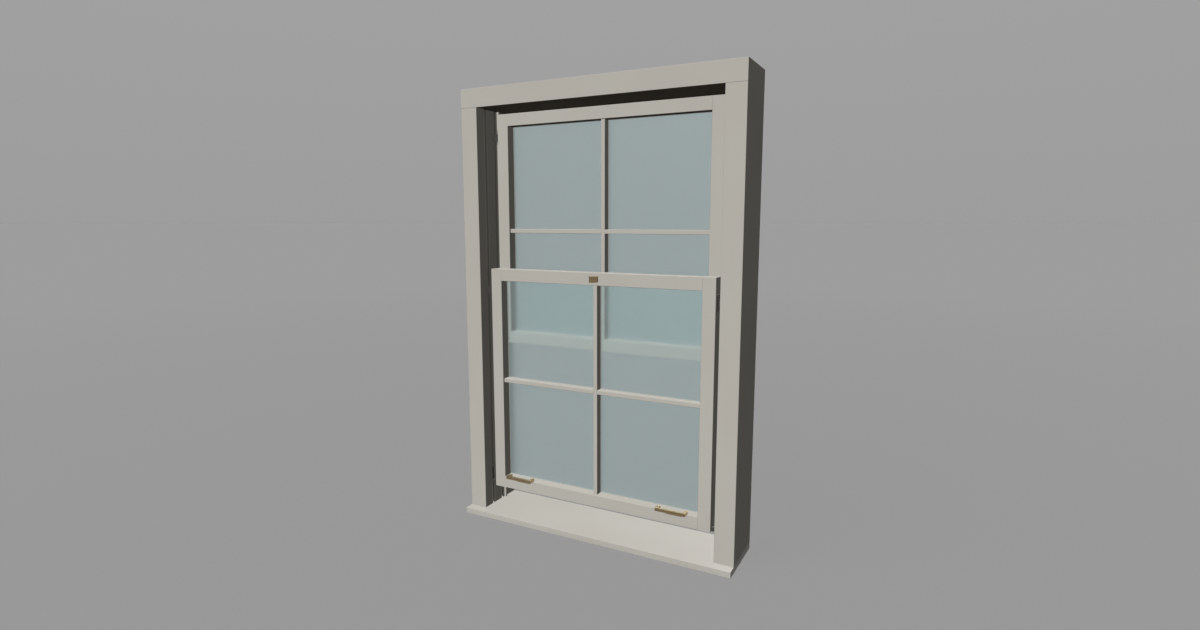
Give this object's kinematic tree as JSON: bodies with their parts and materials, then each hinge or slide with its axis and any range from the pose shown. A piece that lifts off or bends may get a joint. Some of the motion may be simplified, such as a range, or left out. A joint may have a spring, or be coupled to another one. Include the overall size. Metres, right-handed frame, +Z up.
{
  "type": "sash window",
  "caption": "Double-hung sash window in its own slim timber frame with a projecting sill; two glazed sashes with cross bars slide on hidden spiral balances.",
  "frame": {"origin": "middle of the overall footprint, on the sill's underside", "axes": "+X to the right seen from the room, +Y from the room to outside, +Z up"},
  "size_m": [1, 0.216, 1.515],
  "materials": {
    "painted_timber": "flat paint, stone white",
    "glass": "clear float glass, faint grey-green",
    "brass": "aged satin brass",
    "channel_pvc": "rigid PVC, stone white",
    "tube_aluminium": "drawn tube, plain",
    "steel": "zinc plated",
    "carrier_nylon": "glass-filled nylon, dark grey",
    "guide_nylon": "nylon, dark grey"
  },
  "bodies": {
    "frame": {"balance_tube_inner_left": "tube_aluminium", "balance_tube_inner_right": "tube_aluminium", "balance_tube_outer_left": "tube_aluminium", "balance_tube_outer_right": "tube_aluminium", "channel_inner_left": "channel_pvc", "channel_inner_right": "channel_pvc", "channel_outer_left": "channel_pvc", "channel_outer_right": "channel_pvc", "frame_screws": "steel", "head": "painted_timber", "jamb_bead_left": "painted_timber", "jamb_bead_right": "painted_timber", "jamb_left": "painted_timber", "jamb_right": "painted_timber", "sill": "painted_timber"},
    "lower_sash": {"brass_screws": "brass", "catch_case": "brass", "catch_pin": "brass", "lift_left": "brass", "lift_right": "brass", "lower_bar_left": "painted_timber", "lower_bar_right": "painted_timber", "lower_bar_upright": "painted_timber", "lower_bottom_rail": "painted_timber", "lower_carrier_left": "carrier_nylon", "lower_carrier_right": "carrier_nylon", "lower_glazing_beads": "painted_timber", "lower_guide_left": "guide_nylon", "lower_guide_right": "guide_nylon", "lower_pane_lower_left": "glass", "lower_pane_lower_right": "glass", "lower_pane_upper_left": "glass", "lower_pane_upper_right": "glass", "lower_screws": "steel", "lower_spiral_left": "steel", "lower_spiral_right": "steel", "lower_stile_left": "painted_timber", "lower_stile_right": "painted_timber", "lower_top_rail": "painted_timber"},
    "upper_sash": {"upper_bar_left": "painted_timber", "upper_bar_right": "painted_timber", "upper_bar_upright": "painted_timber", "upper_bottom_rail": "painted_timber", "upper_carrier_left": "carrier_nylon", "upper_carrier_right": "carrier_nylon", "upper_glazing_beads": "painted_timber", "upper_guide_left": "guide_nylon", "upper_guide_right": "guide_nylon", "upper_pane_lower_left": "glass", "upper_pane_lower_right": "glass", "upper_pane_upper_left": "glass", "upper_pane_upper_right": "glass", "upper_screws": "steel", "upper_spiral_left": "steel", "upper_spiral_right": "steel", "upper_stile_left": "painted_timber", "upper_stile_right": "painted_timber", "upper_top_rail": "painted_timber"},
    "catch": {"catch_barrel": "brass"}
  },
  "joints": [
    {"name": "lower_sash_slide", "type": "slide", "parent": "frame", "child": "lower_sash", "axis": [0, 0, 1], "range_m": [-0.078, 0.547]},
    {"name": "upper_sash_slide", "type": "slide", "parent": "frame", "child": "upper_sash", "axis": [0, 0, 1], "range_m": [-0.609, 0.011]},
    {"name": "catch_turn", "type": "hinge", "parent": "lower_sash", "child": "catch", "pos_m": [0, -0.0475, 0.88025], "axis": [0, 0, 1], "range_deg": [-90, 90]}
  ]
}
